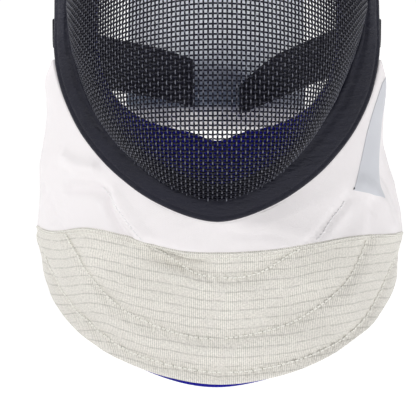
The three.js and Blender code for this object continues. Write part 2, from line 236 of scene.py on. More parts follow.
class Line:
    """A line through many points, asked for by share of its length or by distance."""

    def __init__(self, points):
        self.points = np.asarray(points, float)
        steps = np.linalg.norm(np.diff(self.points, axis=0), axis=-1)
        self.lengths = np.concatenate(((0.0,), np.cumsum(steps)))
        self.total = self.lengths[-1]

    def at_distance(self, distance):
        distance = np.asarray(distance, float)
        axes = [np.interp(distance, self.lengths, column) for column in self.points.T]
        return np.stack(axes, axis=-1)

    def at_share(self, share):
        return self.at_distance(np.asarray(share, float) * self.total)


def heights_from_chin(shape, count=720):
    turn = np.linspace(0, np.pi, count + 1)
    return mix(shape["chin"], shape["top"], (1 - np.cos(turn)) / 2)


def half_outline(shape, behind=0.0):
    height = heights_from_chin(shape)
    return Line(at(half_width(shape, height), edge_depth(height) - behind, height))


def mirrored(line, share):
    """A point of a whole outline: share 0 is the chin, 1 the crown, and the sign is the side."""
    share = (np.asarray(share, float) + 1) % 2 - 1
    point = line.at_share(np.abs(share))
    point[..., 0] *= np.where(share < 0, -1.0, 1.0)
    return point


edge_line = half_outline(EDGE)
opening_line = half_outline(OPENING, LINER["behind"])


def smooth_line(points, count=400):
    """A smooth curve through the points, by centripetal steps."""
    points = np.asarray(points, float)
    ends = (2 * points[0] - points[1], 2 * points[-1] - points[-2])
    points = np.concatenate((ends[:1], points, ends[1:]))
    knots = np.concatenate(((0.0,), np.cumsum(np.linalg.norm(np.diff(points, axis=0), axis=-1) ** 0.5)))
    made = []
    for i in range(1, len(points) - 2):
        t = np.linspace(knots[i], knots[i + 1], count // (len(points) - 3) + 1)[:, None]
        near = knots[i - 1:i + 3]
        layer = points[i - 1:i + 3]
        # Each layer blends neighbours of the one before, between these pairs of knots.
        for pairs in (((0, 1), (1, 2), (2, 3)), ((0, 2), (1, 3)), ((1, 2),)):
            layer = [
                (near[b] - t) / (near[b] - near[a]) * p + (t - near[a]) / (near[b] - near[a]) * q
                for (a, b), p, q in zip(pairs, layer, layer[1:])
            ]
        made.append(layer[0])
    joined = np.concatenate(made)
    keep = np.concatenate(((True,), np.linalg.norm(np.diff(joined, axis=0), axis=-1) > 1e-6))
    return Line(joined[keep])


tongue_line = smooth_line([(0.0, -depth, height) for depth, height in TONGUE_LINE])


def trim_frame(share):
    """The trim's place on the edge, and its directions along it, in to the face and out of it."""
    step = 0.004
    point = mirrored(edge_line, share)
    along = unit(mirrored(edge_line, share + step) - mirrored(edge_line, share - step))
    flat = unit(np.cross(np.broadcast_to(FORWARD, along.shape), along))
    height = (point[..., 2:] - EDGE["chin"]) / (EDGE["temple_bottom"] - EDGE["chin"])
    tilt = np.radians(mix(TRIM_TILT["chin"], TRIM_TILT["temple"], np.minimum(1.0, height)))
    inward = flat * np.cos(tilt) + FORWARD * np.sin(tilt)
    inward = unit(inward - along * dot(inward, along))
    face = unit(np.cross(along, inward))
    return point, along, inward, face


def share_above(height):
    """How far up the edge from the chin a height lies, as a share."""
    return next(s for s in np.linspace(0, 1, 401) if mirrored(edge_line, s)[2] > height)


bib_share = share_above(BIB["start"])


def bib_round(side, shape):
    turn = np.radians(BIB["sweep"] * side)
    rise = shape["rise"] * np.maximum(0.0, 1 - np.cos(turn)) ** HEM_POWER
    depth = BIB["back"] + shape["reach"] * np.cos(turn)
    return at(shape["shift"] + shape["half"] * np.sin(turn), depth, shape["centre"] + rise)


def seam_point(side):
    point = bib_round(side, SEAM)
    for bump in SEAM_RISES:
        point[..., 2] += bump["rise"] * bell(side - bump["side"], bump["wide"])
    return point


def bib_plain(side, drop):
    point, _, inward, _ = trim_frame(side * bib_share)
    top = point - inward * (TRIM["width"] + 2 * GAP)
    seam = seam_point(side)
    hem = bib_round(side, HEM)
    upper = mix(top, seam, np.minimum(drop, 1)[..., None])
    lower = mix(seam, hem, (drop - 1)[..., None])
    return np.where((drop > 1)[..., None], lower, upper)


def fold_rise(side, drop):
    rise = np.zeros(np.broadcast(side, drop).shape)
    for fold in FOLDS:
        across = (side - fold["side"]) / fold["wide"]
        down = (drop - fold["drop"]) / fold["tall"]
        rise = rise + fold["rise"] * np.exp(-(across**2) - down**2)
    return rise


def bib_point(side, drop):
    point = bib_plain(side, drop)
    out = np.stack((
        point[..., 0] / SEAM["half"],
        (point[..., 1] + BIB["back"]) / SEAM["reach"],
        np.zeros(point.shape[:-1]),
    ), axis=-1)
    return point + unit(out) * fold_rise(side, drop)[..., None]


def lining_point(side, drop):
    """The bib's surface, a little longer below the seam where the lining shows under the hem."""
    show = BIB["shows"] * bell(side - BIB["shows_at"], BIB["shows_wide"])
    longer = 1 + show / (SEAM["centre"] - HEM["centre"])
    return bib_point(side, np.where(drop > 1, 1 + (drop - 1) * longer, drop))


def outward(surface, across, down, step=0.002):
    right = surface(across + step, down) - surface(across - step, down)
    below = surface(across, down + step) - surface(across, down - step)
    return unit(np.cross(below, right))


def place_object(name, data):
    placed = bpy.data.objects.new(name, data)
    bpy.context.scene.collection.objects.link(placed)
    return placed


def make_piece(name, points, faces, uvs=None, material=None):
    """A smooth mesh object from points in mm, riding on the mask's one body."""
    mesh = bpy.data.meshes.new(name)
    points = np.asarray(points, float).reshape(-1, 3) * MM
    mesh.from_pydata(points.tolist(), [], [tuple(face) for face in faces])
    if uvs is not None:
        layer = mesh.uv_layers.new(name="cloth")
        corners = np.empty(len(mesh.loops), dtype=np.int64)
        mesh.loops.foreach_get("vertex_index", corners)
        layer.data.foreach_set("uv", np.asarray(uvs, float)[corners].ravel())
    mesh.polygons.foreach_set("use_smooth", [True] * len(mesh.polygons))
    mesh.update()
    piece = place_object(name, mesh)
    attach(piece, "root")
    if material is not None:
        mesh.materials.append(material)
    return piece


def grid_quads(rows, columns, start=0, wrap=False, flip=False):
    """Quads over a grid of points numbered row by row."""
    i, j = np.meshgrid(np.arange(rows - 1), np.arange(columns if wrap else columns - 1), indexing="ij")
    k = (j + 1) % columns
    quads = np.stack((i * columns + j, (i + 1) * columns + j, (i + 1) * columns + k, i * columns + k), -1)
    quads = quads.reshape(-1, 4) + start
    return quads[:, ::-1] if flip else quads


ROUNDING_STEPS = np.array((0.08, 0.22, 0.42, 0.68, 1.0))


def spaced(count, start, end, rounding):
    """Even values from start to end, with a few closer ones at both ends for a rounded edge."""
    values = np.linspace(start, end, count + 1)
    near = ROUNDING_STEPS * rounding
    clear = rounding * 1.2
    inside = values[(values > start + clear) & (values < end - clear)]
    return np.concatenate(((start,), start + near, inside, end - near[::-1], (end,)))


def edge_round(values, start, end, reach):
    """From a thin edge to full thickness within reach of either end."""
    inside = np.clip(np.minimum(values - start, end - values) / reach, 0, 1)
    return np.sqrt(np.maximum(0.03, 1 - (1 - inside) ** 2))


def shell_faces(rows, columns, wrap=False):
    """The faces of a closed shell: an outer grid, the inner one behind it, and the walls between."""
    count = rows * columns
    top = np.arange(columns)
    bottom = top + (rows - 1) * columns
    left = np.arange(rows) * columns
    rims = [top, left + columns - 1, bottom[::-1], left[::-1]]
    if wrap:
        rims = [np.append(top, top[0]), np.append(bottom, bottom[0])[::-1]]
    walls = [np.stack((ids[:-1], ids[1:], ids[1:] + count, ids[:-1] + count), -1) for ids in rims]
    outer = grid_quads(rows, columns, 0, wrap)
    inner = grid_quads(rows, columns, count, wrap, flip=True)
    return np.concatenate([outer, inner] + walls)


def run_lengths(points, axis):
    """How far along a grid each point lies, in mm from the grid's first line."""
    steps = np.linalg.norm(np.diff(points, axis=axis), axis=-1)
    return np.insert(np.cumsum(steps, axis=axis), 0, 0.0, axis=axis)


def make_shell(name, outer, inner, uvs=None, material=None, wrap=False):
    """A closed piece between an outer and an inner grid of points, which share their UVs."""
    points = np.concatenate((outer.reshape(-1, 3), inner.reshape(-1, 3)))
    if uvs is not None:
        uvs = np.concatenate((uvs, uvs)).reshape(-1, 2)
    return make_piece(name, points, shell_faces(*outer.shape[:2], wrap), uvs, material)


def cloth(name, surface, across, down, thickness, lift, material):
    """A closed layer that follows a surface, lifted off it. Its UVs are millimetres of cloth."""
    u, v = np.meshgrid(across, down)
    middle = surface(u, v)
    normal = outward(surface, u, v)
    thickness = np.broadcast_to(thickness, u.shape)[..., None]
    lift = np.broadcast_to(lift, u.shape)[..., None]
    outer = middle + normal * (lift + thickness / 2)
    inner = middle + normal * (lift - thickness / 2)
    along = run_lengths(middle, 1)
    centre = u.shape[1] // 2
    along = along - along[:, centre:centre + 1]
    uvs = np.stack((along, -run_lengths(middle, 0)), -1)
    return make_shell(name, outer, inner, uvs, material)


# Materials


class Nodes:
    """Short calls for building the nodes of a material or of the world."""

    def __init__(self, name, group=bpy.data.materials, shader="Principled BSDF"):
        self.made = group.new(name)
        self.made.use_nodes = True
        self.tree = self.made.node_tree
        self.shader = self.tree.nodes[shader]

    def add(self, kind, **values):
        node = self.tree.nodes.new(kind)
        for key, value in values.items():
            if key in node.inputs:
                self.put(node.inputs[key], value)
            else:
                setattr(node, key, value)
        return node

    def put(self, socket, value):
        if isinstance(value, bpy.types.NodeSocket):
            self.tree.links.new(value, socket)
        else:
            socket.default_value = value

    def set(self, **values):
        """Fills the shader's sockets, and gives back what the nodes belong to."""
        for key, value in values.items():
            self.put(self.shader.inputs[key.replace("_", " ")], value)
        return self.made

    def place(self):
        return self.add("ShaderNodeTexCoord").outputs["Object"]

    def cloth_place(self):
        return self.add("ShaderNodeUVMap", uv_map="cloth").outputs["UV"]

    def filled(self, kind, output, values, **settings):
        """A new node's output, with its sockets filled from a dict."""
        node = self.add(kind, **settings)
        for socket, value in values.items():
            self.put(node.inputs[socket], value)
        return node.outputs[output]

    def scaled(self, vector, scale):
        return self.filled("ShaderNodeMapping", "Vector", {"Vector": vector, "Scale": scale})

    def part(self, vector, axis):
        return self.filled("ShaderNodeSeparateXYZ", axis, {0: vector})

    def math(self, operation, *values):
        return self.filled("ShaderNodeMath", 0, dict(enumerate(values)), operation=operation)

    def wave(self, value, period):
        """A smooth wave from 0 to 1 with the given period."""
        turn = self.math("MULTIPLY", value, 2 * math.pi / period)
        return self.math("MULTIPLY_ADD", self.math("SINE", turn), 0.5, 0.5)

    def noise(self, vector, scale, detail=2.0, roughness=0.5):
        values = {"Vector": vector, "Scale": scale, "Detail": detail, "Roughness": roughness}
        return self.filled("ShaderNodeTexNoise", "Fac", values)

    def blend(self, share, low, high, blend_type="MIX"):
        """A colour between two, each a tuple or a socket."""
        low, high = ((*c, 1.0) if isinstance(c, tuple) else c for c in (low, high))
        values = {0: share, 6: low, 7: high}
        return self.filled("ShaderNodeMix", 2, values, data_type="RGBA", blend_type=blend_type)

    def between(self, share, low, high):
        """A share from 0 to 1 turned into a value between two."""
        return self.math("MULTIPLY_ADD", share, high - low, low)

    def clear(self, share, low, high):
        """0 below low, 1 above high and a smooth step between them."""
        values = {"Value": share, "From Min": low, "From Max": high}
        return self.filled("ShaderNodeMapRange", "Result", values, interpolation_type="SMOOTHSTEP")

    def bump(self, height, distance, strength=1.0, below=None):
        values = {"Height": height, "Distance": distance, "Strength": strength}
        if below is not None:
            values["Normal"] = below
        return self.filled("ShaderNodeBump", "Normal", values)


def weave(nodes, cloth_place, across, down):
    """A plain weave's height: threads across and down that pass over and under each other."""
    u = nodes.part(cloth_place, 0)
    v = nodes.part(cloth_place, 1)
    threads = nodes.math("MULTIPLY", nodes.wave(u, across), nodes.wave(v, down))
    over = nodes.math("MULTIPLY", nodes.wave(u, 2 * across), nodes.wave(v, 2 * down))
    return nodes.math("ADD", threads, over)


def wire_material(name, highlight_tone):
    """Black lacquer, with a painted highlight: lighter grey painted on the outer side of each crest where
    a wire passes over the one that it crosses.
    """
    nodes = Nodes(name)
    place = nodes.place()
    patch = nodes.noise(place, 60.0, 3.0)
    grain = nodes.noise(place, 700.0, 2.0)
    weave_place = nodes.cloth_place()
    crest = nodes.clear(nodes.part(weave_place, 0), -0.05, 0.55)
    outer = nodes.clear(nodes.part(weave_place, 1), 0.62, 0.87)
    # Painted highlight: the outer side of each crest, made patchy by the grain.
    painted_light_mask = nodes.math("MULTIPLY", crest, outer)
    painted_light_mask = nodes.math("MULTIPLY", painted_light_mask, nodes.clear(grain, 0.28, 0.60))
    nodes.set(Base_Color=nodes.blend(painted_light_mask, (0.0008, 0.0008, 0.0065), highlight_tone))
    nodes.set(Roughness=nodes.between(patch, 0.30, 0.42), Specular_IOR_Level=0.15)
    return nodes.set(Normal=nodes.bump(grain, 0.0001, 0.4))


def trim_material():
    """Dark slate synthetic leather: pores, soft wrinkles and a few scuffs."""
    nodes = Nodes("slate_leather")
    place = nodes.place()
    cells = {"Vector": place, "Scale": 900.0}
    edges = nodes.filled("ShaderNodeTexVoronoi", "Distance", cells, feature="DISTANCE_TO_EDGE")
    pores = nodes.clear(edges, 0.0, 0.25)
    patch = nodes.noise(place, 35.0, 4.0, 0.6)
    scuff = nodes.clear(nodes.noise(place, 160.0, 3.0, 0.6), 0.62, 0.80)
    wrinkle = nodes.noise(nodes.scaled(place, (0.7, 0.7, 2.6)), 70.0, 4.0, 0.65)
    base = nodes.blend(patch, (0.0042, 0.0042, 0.0115), (0.0105, 0.011, 0.0235))
    worn = nodes.blend(nodes.math("MULTIPLY", scuff, 0.35), base, (0.050, 0.052, 0.066))
    nodes.set(Base_Color=worn, Roughness=nodes.between(patch, 0.38, 0.55), Specular_IOR_Level=0.24)
    low = nodes.bump(wrinkle, 0.0030)
    return nodes.set(Normal=nodes.bump(pores, 0.00012, 0.5, low))


def cotton_material():
    nodes = Nodes("white_cloth")
    threads = weave(nodes, nodes.cloth_place(), 0.55, 0.55)
    patch = nodes.noise(nodes.place(), 14.0, 4.0, 0.6)
    colour = nodes.blend(patch, (0.80, 0.765, 0.776), (0.86, 0.830, 0.840))
    low = nodes.bump(nodes.noise(nodes.place(), 42.0, 4.0, 0.6), 0.0016, 0.5)
    nodes.set(Base_Color=colour, Roughness=0.88, Sheen_Weight=0.15)
    return nodes.set(Normal=nodes.bump(threads, 0.00012, 0.6, low))


def lame_material():
    """Metal-thread cloth: fine ribs that glint and fleck, and broken darker stripes across."""
    nodes = Nodes("silver_lame")
    flat = nodes.cloth_place()
    waver = nodes.noise(nodes.scaled(flat, (0.03, 0.02, 1.0)), 1.0, 2.0)
    u = nodes.part(flat, 0)
    v = nodes.math("MULTIPLY_ADD", waver, 4.0, nodes.part(flat, 1))
    broken = nodes.noise(nodes.scaled(flat, (0.16, 0.10, 1.0)), 1.0, 3.0)
    stripe = nodes.clear(nodes.wave(v, 6.2), 0.91, 0.995)
    stripe = nodes.math("MULTIPLY", stripe, nodes.clear(broken, 0.24, 0.56))
    rib = nodes.wave(u, 1.32)
    cross = nodes.wave(v, 0.78)
    speck = nodes.noise(nodes.scaled(flat, (1.5, 0.45, 1.0)), 1.0, 2.0)
    glint = nodes.clear(nodes.noise(nodes.scaled(flat, (0.75, 0.95, 1.0)), 1.0, 3.0, 0.7), 0.28, 0.72)
    thread = nodes.math("ADD", nodes.math("MULTIPLY", rib, 0.50), nodes.math("MULTIPLY", speck, 0.34))
    thread = nodes.math("MULTIPLY_ADD", glint, 0.40, thread)
    tone = nodes.blend(thread, (0.50, 0.50, 0.495), (1.10, 1.10, 1.10))
    base = nodes.blend(nodes.noise(nodes.place(), 18.0, 3.0), (0.79, 0.762, 0.707), (0.90, 0.872, 0.815))
    ribbed = nodes.blend(1.0, base, tone, "MULTIPLY")
    striped = nodes.blend(nodes.math("MULTIPLY", stripe, 0.36), ribbed, (0.33, 0.32, 0.29))
    nodes.set(Base_Color=striped, Metallic=0.25, Roughness=0.5)
    height = nodes.math("ADD", rib, nodes.math("MULTIPLY", cross, 0.7))
    return nodes.set(Normal=nodes.bump(nodes.math("MULTIPLY_ADD", stripe, -0.8, height), 0.00025, 0.8))


def blue_material():
    nodes = Nodes("blue_lining")
    fuzz = nodes.noise(nodes.place(), 700.0, 3.0)
    patch = nodes.noise(nodes.place(), 30.0, 3.0)
    colour = nodes.blend(patch, (0.008, 0.007, 0.21), (0.016, 0.014, 0.37))
    low = nodes.bump(weave(nodes, nodes.cloth_place(), 1.2, 1.2), 0.0003, 0.5)
    nodes.set(Base_Color=colour, Roughness=0.9, Specular_IOR_Level=0.2)
    return nodes.set(Normal=nodes.bump(fuzz, 0.0002, 0.5, low))


def grey_material(name, low_tone, high_tone):
    """Woven grey cloth, and its colour so that another material can build on it."""
    nodes = Nodes(name)
    threads = weave(nodes, nodes.cloth_place(), 1.6, 1.6)
    patch = nodes.noise(nodes.place(), 25.0, 3.0)
    light = nodes.blend(nodes.math("MULTIPLY", threads, patch), low_tone, high_tone)
    nodes.set(Base_Color=light, Roughness=0.9, Sheen_Weight=0.2)
    nodes.set(Normal=nodes.bump(threads, 0.0004, 0.6))
    return nodes, light


def grey_inside_material():
    """The tongue's inner cloth, with painted shade: grey blue over its lower part, weaker on the right,
    and a painted pale end that blends into the bright backdrop below it.
    """
    nodes, light = grey_material("grey_padding_inside", (0.52, 0.535, 0.56), (0.65, 0.66, 0.685))
    down = nodes.math("MULTIPLY", nodes.part(nodes.place(), 2), -1.0)
    across = nodes.part(nodes.place(), 0)
    # Painted shade: grey blue from here down, fading out at the end and weaker on the right side.
    begins = nodes.clear(down, 0.146, 0.200)
    ends = nodes.between(nodes.clear(down, 0.200, 0.2105), 1.0, 0.15)
    right = nodes.between(nodes.clear(across, 0.020, 0.042), 1.0, 0.45)
    painted_light_mask = nodes.math("MULTIPLY", nodes.math("MULTIPLY", begins, ends), right)
    shaded = nodes.blend(painted_light_mask, light, (0.165, 0.200, 0.250))
    # Painted light: the last few mm turn near white, to blend into the backdrop seen below the tongue.
    return nodes.set(Base_Color=nodes.blend(nodes.clear(down, 0.199, 0.209), shaded, (0.86, 0.835, 0.80)))


def webbing_material():
    nodes = Nodes("black_webbing")
    threads = weave(nodes, nodes.cloth_place(), 1.5, 1.0)
    colour = nodes.blend(nodes.clear(threads, 0.4, 1.6), (0.0025, 0.0025, 0.006), (0.010, 0.010, 0.018))
    nodes.set(Base_Color=colour, Roughness=0.78, Specular_IOR_Level=0.2, Sheen_Weight=0.1)
    return nodes.set(Normal=nodes.bump(threads, 0.0003, 0.7))


def label_material():
    nodes = Nodes("pale_label")
    patch = nodes.noise(nodes.place(), 40.0, 2.0)
    nodes.set(Base_Color=nodes.blend(patch, (0.55, 0.56, 0.60), (0.62, 0.63, 0.67)), Roughness=0.5)
    return nodes.set(Normal=nodes.bump(weave(nodes, nodes.cloth_place(), 0.4, 0.4), 0.00008, 0.5))


def thread_material(name, colour):
    nodes = Nodes(name)
    twist = nodes.noise(nodes.place(), 1500.0, 1.0)
    darker = tuple(c * 0.8 for c in colour)
    nodes.set(Base_Color=nodes.blend(twist, darker, colour), Roughness=0.6)
    return nodes.set(Normal=nodes.bump(twist, 0.0001, 0.5))


# The lighter tones are painted highlights on the crests. The columns' tone is brighter because light falls
# on them more.
WEFT_WIRE = wire_material("black_weft_wire", (0.036, 0.037, 0.052))
WARP_WIRE = wire_material("black_warp_wire", (0.165, 0.170, 0.205))
TRIM_LEATHER = trim_material()
COTTON = cotton_material()
LAME = lame_material()
BLUE = blue_material()
GREY = grey_material("grey_padding", (0.42, 0.43, 0.445), (0.56, 0.565, 0.58))[0].made
GREY_INSIDE = grey_inside_material()
WEBBING = webbing_material()
PALE = label_material()
PALE_THREAD = thread_material("pale_thread", (0.93, 0.92, 0.86))
WHITE_THREAD = thread_material("white_thread", (0.90, 0.89, 0.90))
DARK_THREAD = thread_material("dark_thread", (0.035, 0.037, 0.045))
# Painted shade: the dark colour of the dots that stand in for the shade inside the needle holes.
HOLE_SHADE = thread_material("needle_hole_shade", (0.27, 0.26, 0.225))


# The woven wire face


def row_tilt(distance, total):
    chin = (distance / total) ** ROW_TILT["chin_power"]
    crown = ROW_TILT["crown"] * math.exp(-distance / ROW_TILT["fade"])
    return math.radians(crown - ROW_TILT["chin"] * chin)


def half_row(start, tilt, turns, halvings=36):
    """Heights at which a tipped plane through the ridge point start cuts the face."""
    low = np.full(turns.shape, EDGE["chin"])
    high = np.full(turns.shape, EDGE["top"])
    for _ in range(halvings):
        height = (low + high) / 2
        point = face_point(height, turns)
        above = (point[..., 2] - start[2]) * math.cos(tilt) + (point[..., 1] - start[1]) * math.sin(tilt)
        high = np.where(above > 0, height, high)
        low = np.where(above > 0, low, height)
    return (low + high) / 2


def face_normal(height, turn, turn_step=0.004, height_step=0.4):
    """Out of the face, taken a little inside its edges where it is even."""
    turn = np.clip(turn, 5 * turn_step, np.pi / 2 - 5 * turn_step)
    height = np.clip(height, EDGE["chin"] + 1.0, EDGE["top"] - 1.0)
    across = face_point(height, turn + turn_step) - face_point(height, turn - turn_step)
    up = face_point(height + height_step, turn) - face_point(height - height_step, turn)
    return unit(np.cross(across, up))


def net_rows():
    """Each row of the right half: points and normals at its crossings, and its last column."""
    heights = heights_from_chin(EDGE)[::-1]
    ridge = Line(at(np.zeros(heights.shape), ridge_depth(heights), heights))
    turns = np.linspace(0, np.pi / 2, 97)
    pitch = NET["column_pitch"]
    rows = []
    for distance in np.arange(NET["row_pitch"] * NET_ENDS["first_row"], ridge.total, NET["row_pitch"]):
        tilt = row_tilt(distance, ridge.total)
        cut = half_row(ridge.at_distance(distance), tilt, turns)
        line = Line(face_point(cut, turns))
        reach = int((line.total - NET_ENDS["clear"] * pitch) // pitch)
        marks = np.append(np.arange(reach + 1) * pitch, line.total)
        turn = np.interp(marks, line.lengths, turns)
        height = np.interp(marks, line.lengths, cut)
        rows.append((face_point(height, turn), face_normal(height, turn), reach))
    return rows


def tube(points, normals, radius, sides, crest=0.0):
    """A round wire's points, faces and UVs, which say how far it crests and which side is outer."""
    along = unit(np.gradient(points, axis=0))
    side = unit(np.cross(along, normals))[:, None]
    up = np.cross(side, along[:, None])
    turn = (np.arange(sides) * 2 * np.pi / sides)[None, :, None]
    rings = points[:, None] + radius * (np.cos(turn) * side + np.sin(turn) * up)
    count = len(points)
    faces = grid_quads(count, sides, wrap=True).tolist()
    faces.append(list(range(sides)))
    faces.append(list(range(count * sides - 1, (count - 1) * sides - 1, -1)))
    crests = np.broadcast_to(crest, (count,))[:, None]
    uvs = np.stack(np.broadcast_arrays(crests, np.sin(turn[..., 0])), -1).reshape(-1, 2)
    return rings.reshape(-1, 3), faces, uvs


def join_tubes(name, tubes, material):
    faces = []
    start = 0
    for points, tube_faces, _ in tubes:
        faces.extend([i + start for i in face] for face in tube_faces)
        start += len(points)
    points = np.concatenate([made[0] for made in tubes])
    return make_piece(name, points, faces, np.concatenate([made[2] for made in tubes]), material)


def flip_x(vectors):
    return vectors * np.array((-1.0, 1.0, 1.0))


def wire_pull(points):
    heights = [row["height"] for row in WIRE_PULL]
    left, right = (
        np.interp(points[..., 2], heights, [row[side] for row in WIRE_PULL]) for side in ("left", "right")
    )
    return np.where(points[..., 0] < 0, left, right)


def pulled_in(points):
    """The face's points, with those near its edge drawn in to where the trim lets them out."""
    share = np.clip(np.abs(points[:, 0]) / np.maximum(half_width(EDGE, points[:, 2]), 1.0), 0, 1)
    toward = np.stack((-points[:, 0], 0 * share, PULL_TOWARD - points[:, 2]), -1)
    return points + unit(toward) * (wire_pull(points) * share**PULL_POWER)[:, None]


def wire(points, normals, crest):
    return tube(pulled_in(points), normals, NET["radius"], NET["sides"], crest)


def column_wire(stops):
    """A wire down a column, which runs on a little past its first and last crossings."""
    line, normals, crest = (np.array(values) for values in zip(*stops))
    first = line[0] + NET_ENDS["run_on"] * (line[0] - line[1])
    last = line[-1] + NET_ENDS["run_on"] * (line[-1] - line[-2])
    line = np.concatenate(((first,), line, (last,)))
    normals = np.concatenate((normals[:1], normals, normals[-1:]))
    return wire(line, normals, np.concatenate(((0.0,), crest, (0.0,))))


def woven_face():
    rows = net_rows()
    wires = {"rows_upper": [], "rows_lower": [], "columns_left": [], "columns_right": []}
    columns = {}
    for k, (points, normals, reach) in enumerate(rows):
        crest = np.where((np.arange(reach + 2) + k) % 2 == 0, 1.0, -1.0)
        weft = points + normals * crest[:, None] * NET["crimp"]
        warp = points - normals * crest[:, None] * NET["crimp"]
        line = np.concatenate((flip_x(weft[:0:-1]), weft))
        line_normals = np.concatenate((flip_x(normals[:0:-1]), normals))
        if len(line) > 3:
            half = "rows_upper" if k < len(rows) // 2 else "rows_lower"
            wires[half].append(wire(line, line_normals, np.concatenate((crest[:0:-1], crest))))
        for j in range(reach + 1):
            columns.setdefault(j, []).append((warp[j], normals[j], -crest[j]))
            if j:
                columns.setdefault(-j, []).append((flip_x(warp[j]), flip_x(normals[j]), -crest[j]))
    for j, stops in columns.items():
        if len(stops) > 2:
            wires["columns_left" if j < 0 else "columns_right"].append(column_wire(stops))
    for name, tubes in wires.items():
        piece = join_tubes(f"wire_{name}", tubes, WEFT_WIRE if "rows" in name else WARP_WIRE)
        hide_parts("wire_mesh")


woven_face()


# The padded trim


def round_shares(count):
    return np.arange(count) * 2.0 / count


def trim_profile(sides):
    """The trim's section: across from its outer to its inner edge, and out of the face."""
    turn = np.arange(sides) * 2 * np.pi / sides
    across = np.cos(turn) * TRIM["width"] / 2
    out = np.sign(np.sin(turn)) * np.abs(np.sin(turn)) ** TRIM["squareness"] * TRIM["thickness"] / 2
    grooves = sum(row["deep"] * bell(across - row["across"], row["wide"]) for row in TRIM_GROOVES)
    return across, out - np.where(out > 0, grooves, 0.0)


def trim_band():
    shares = round_shares(300)
    point, _, inward, face = trim_frame(shares)
    across, out = trim_profile(44)
    centre = point - inward * (TRIM["width"] / 2 + GAP - TRIM["cover"])
    ripple = TRIM["ripple"] * np.sin(shares * 61.0) * np.sin(shares * 17.0 + 1.0)
    chin = np.clip((TRIM["lip_top"] - point[:, 2:]) / TRIM["lip_reach"], 0, 1)
    lip = TRIM["lip"] * chin + np.maximum(0.0, wire_pull(point))[:, None] / (TRIM["width"] / 2)
    spread = across * (TRIM["stretch"] + lip * (across > 0))
    raised = out + ripple[:, None] * (out > 0)
    rings = centre[:, None] + inward[:, None] * spread[..., None] + face[:, None] * raised[..., None]
    count, sides = spread.shape
    quads = grid_quads(count + 1, sides, wrap=True, flip=True) % (count * sides)
    piece = make_piece("trim_band", rings, quads, material=TRIM_LEATHER)
    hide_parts("rim_trim")


trim_band()


# The bib


# Stitched lines on the bib, each through a few places given as side and drop.
SEAM_PLACES = {
    "hem": (
        (-0.94, 1.05), (-0.86, 1.31), (-0.73, 1.62), (-0.61, 1.77), (-0.47, 1.85), (-0.34, 1.90),
        (-0.12, 1.905), (0.13, 1.915), (0.34, 1.92), (0.45, 1.92), (0.53, 1.88), (0.65, 1.75),
        (0.74, 1.58), (0.87, 1.38), (0.95, 1.08),
    ),
    "wide": (
        (-0.67, 0.60), (-0.645, 0.77), (-0.617, 0.93), (-0.59, 1.03), (-0.525, 1.22), (-0.435, 1.46),
        (-0.343, 1.58), (-0.20, 1.63), (-0.05, 1.655), (0.10, 1.635), (0.26, 1.59), (0.397, 1.475),
        (0.46, 1.38), (0.505, 1.25), (0.55, 1.06), (0.595, 0.83), (0.645, 0.64),
    ),
    "inner": (
        (-0.49, 0.30), (-0.367, 0.52), (-0.262, 0.92), (-0.225, 1.035), (-0.142, 1.105),
        (-0.065, 1.175), (0.015, 1.193), (0.08, 1.19), (0.133, 1.165), (0.232, 1.05), (0.305, 0.98),
        (0.41, 0.69), (0.51, 0.505),
    ),
}
BAR_TACK = ((-0.219, 1.575), (-0.220, 1.63), (-0.221, 1.685))

# Creases and rolls of the cloth: a run of places, how wide it is and how far it rises, in mm.
CREASES = table(
    "places wide rise",
    (((-0.44, 0.35), (-0.40, 0.55), (-0.30, 0.99)), 3.6, -3.9),
    (((-0.40, 0.35), (-0.345, 0.55), (-0.25, 0.95)), 6.0, 2.9),
    (((0.28, 0.96), (0.36, 0.75), (0.44, 0.58)), 2.6, -0.5),
    (((0.33, 0.99), (0.42, 0.78), (0.50, 0.62)), 5.0, 0.9),
    (((-0.70, 0.28), (-0.62, 0.24), (-0.54, 0.12)), 4.6, 3.3),
    (((-0.64, 0.52), (-0.55, 0.42), (-0.48, 0.36)), 4.3, -3.7),
    (((-0.90, 0.66), (-0.78, 0.72), (-0.70, 0.86)), 5.0, -3.4),
    (((0.62, 0.44), (0.70, 0.70), (0.72, 0.96)), 5.6, 2.6),
    (((0.80, 0.52), (0.86, 0.72), (0.90, 0.96)), 5.5, -3.4),
    (((0.06, 0.45), (0.16, 0.60), (0.24, 0.88)), 3.5, -0.8),
    (((-0.27, 1.03), (-0.17, 1.06), (-0.05, 1.11)), 4.5, -2.6),
    (((-0.60, 1.10), (-0.50, 1.16), (-0.36, 1.12)), 7.0, 1.6),
    (((-0.52, 1.32), (-0.40, 1.34), (-0.20, 1.40)), 9.0, 1.6),
    (((0.20, 1.30), (0.32, 1.34), (0.40, 1.28)), 9.0, 1.4),
    (((0.10, 1.52), (0.22, 1.50), (0.36, 1.40)), 6.0, -1.4),
    (((0.38, 1.62), (0.46, 1.56), (0.54, 1.40)), 6.0, 1.4),
    (((-0.50, 1.62), (-0.38, 1.70), (-0.24, 1.76)), 5.0, 1.2),
    (((-0.06, 1.74), (0.10, 1.77), (0.26, 1.74)), 6.0, 0.8),
)


def bib_line(places, count=160):
    line = smooth_line([(s, d, 0.0) for s, d in places], count)
    return line.at_share(np.linspace(0, 1, count))[:, :2]


def distance_to_places(points, places):
    """The least distance in mm from each point of the bib to a line of places on it."""
    line = bib_plain(places[:, 0], places[:, 1])
    best = np.full(points.shape[:-1], 1e6)
    for a, b in zip(line[:-1], line[1:]):
        span = b - a
        share = np.clip(((points - a) @ span) / max(1e-9, span @ span), 0, 1)
        best = np.minimum(best, np.linalg.norm(points - (a + share[..., None] * span), axis=-1))
    return best


seam_lines = {name: bib_line(places) for name, places in SEAM_PLACES.items()}
crease_lines = [(bib_line(crease["places"], 24), crease) for crease in CREASES]


QUILT = {
    "swell": 2.2, "reach": 4.4, "sink": 1.5, "pucker": 0.5, "pucker_reach": 4.0, "shallow": 0.45,
    "deepens": 0.06,
}


